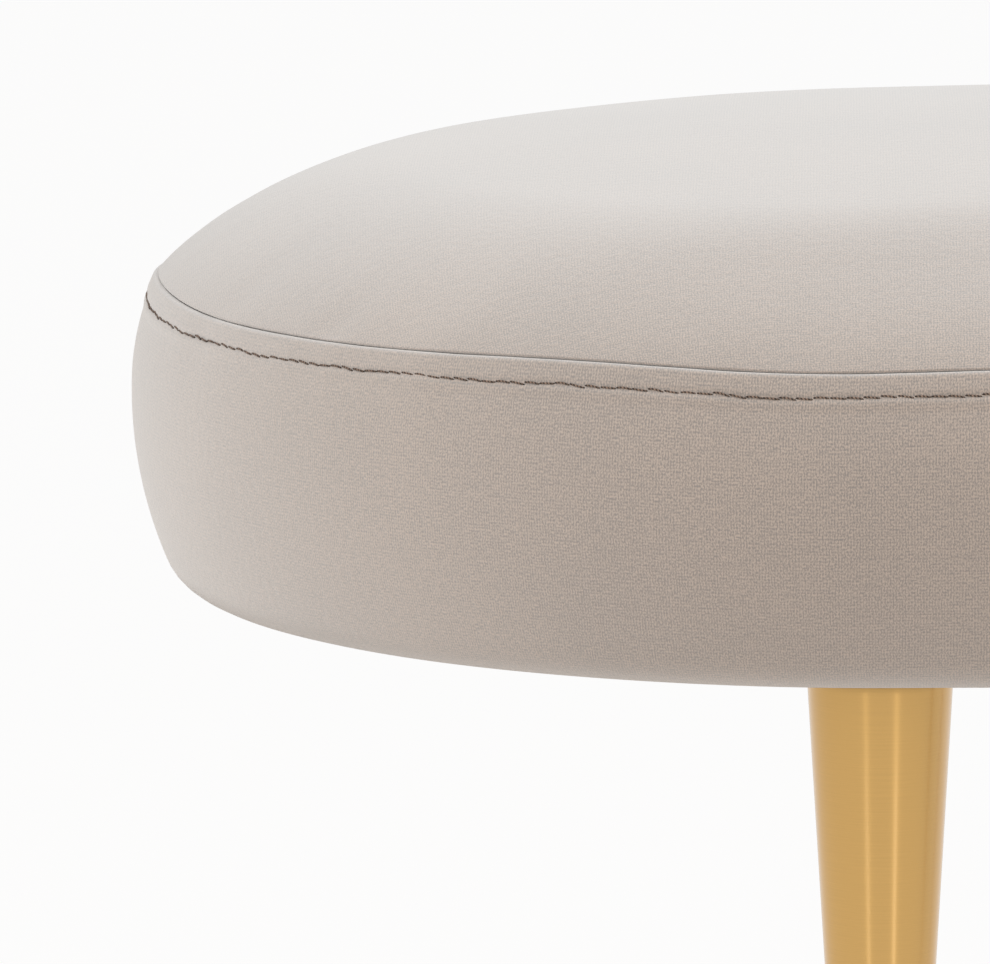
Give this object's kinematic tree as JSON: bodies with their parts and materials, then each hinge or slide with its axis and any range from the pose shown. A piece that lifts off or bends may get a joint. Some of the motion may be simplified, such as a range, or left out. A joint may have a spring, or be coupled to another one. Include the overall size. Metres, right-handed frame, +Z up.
{
  "type": "oval bench",
  "caption": "Oval upholstered bench: a crowned velvet seat with a side band and topstitched seam on a wooden frame, with slim tapered legs in brushed gold.",
  "frame": {"origin": "on the floor, under the middle of the seat", "axes": "+X along the bench, +Y from its front to its rear, +Z up"},
  "size_m": [1.1998, 0.4998, 0.441],
  "materials": {
    "velvet": "short-pile velvet, pale greige",
    "foam": "open-cell upholstery foam",
    "fibre_wadding": "white fibre wadding",
    "plywood": "raw birch plywood",
    "beech": "turned beech",
    "pine": "planed pine",
    "nonwoven_sheet": "black non-woven sheet",
    "brushed_gold": "satin gold, brushed round the leg",
    "nylon": "matt black nylon",
    "zinc_steel": "zinc-plated steel"
  },
  "bodies": {
    "root": {"base_board": "plywood", "base_screws": "zinc_steel", "cover_side_band": "velvet", "cover_top_panel": "velvet", "cross_rail_dowels": "beech", "deck_board": "plywood", "deck_screws": "zinc_steel", "dust_cover": "nonwoven_sheet", "dust_cover_staples": "zinc_steel", "foot_cap_front_left": "nylon", "foot_cap_front_right": "nylon", "foot_cap_rear_left": "nylon", "foot_cap_rear_right": "nylon", "front_rail": "pine", "left_cross_rail": "pine", "left_end_rail": "pine", "leg_nut_front_left": "zinc_steel", "leg_nut_front_right": "zinc_steel", "leg_nut_rear_left": "zinc_steel", "leg_nut_rear_right": "zinc_steel", "leg_plug_front_left": "zinc_steel", "leg_plug_front_right": "zinc_steel", "leg_plug_rear_left": "zinc_steel", "leg_plug_rear_right": "zinc_steel", "leg_stud_front_left": "zinc_steel", "leg_stud_front_right": "zinc_steel", "leg_stud_rear_left": "zinc_steel", "leg_stud_rear_right": "zinc_steel", "leg_tube_front_left": "brushed_gold", "leg_tube_front_right": "brushed_gold", "leg_tube_rear_left": "brushed_gold", "leg_tube_rear_right": "brushed_gold", "middle_cross_rail": "pine", "rail_dowels": "beech", "rear_rail": "pine", "right_cross_rail": "pine", "right_end_rail": "pine", "seat_foam": "foam", "side_foam": "foam", "wadding": "fibre_wadding"}
  },
  "joints": []
}
